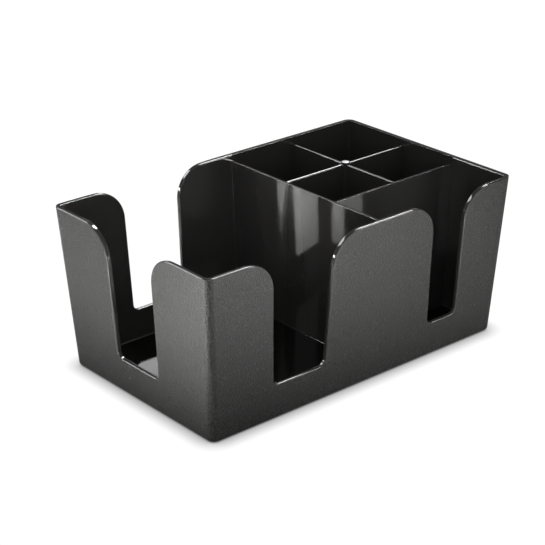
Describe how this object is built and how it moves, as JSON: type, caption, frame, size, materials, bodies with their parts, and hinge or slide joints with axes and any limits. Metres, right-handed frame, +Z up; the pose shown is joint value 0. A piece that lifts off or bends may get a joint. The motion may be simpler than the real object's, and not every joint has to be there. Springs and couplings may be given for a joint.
{
  "type": "table organizer",
  "caption": "Open counter caddy with a napkin bay, a long straw bay and a block of small square cells behind drafted walls, with finger cut-outs down to low sills.",
  "frame": {"origin": "on the surface that the feet stand on, under the middle of the tray", "axes": "+Z up; +X along the tray from the napkin bay to the cells; -Y is the long side with two cut-outs, so +Y is its plainer back"},
  "size_m": [0.24, 0.147, 0.105],
  "materials": {
    "shell": "fine spark-eroded grain outside, polished inside",
    "dividers": "polished",
    "feet": "matte"
  },
  "bodies": {
    "root": {"tray_shell": "shell", "main_divider": "dividers", "straw_divider": "dividers", "grid_panel_left": "dividers", "grid_panel_right": "dividers", "grid_panel_front": "dividers", "grid_panel_back": "dividers", "centre_post": "dividers", "foot_front_left": "feet", "foot_front_right": "feet", "foot_back_left": "feet", "foot_back_right": "feet"}
  },
  "joints": []
}
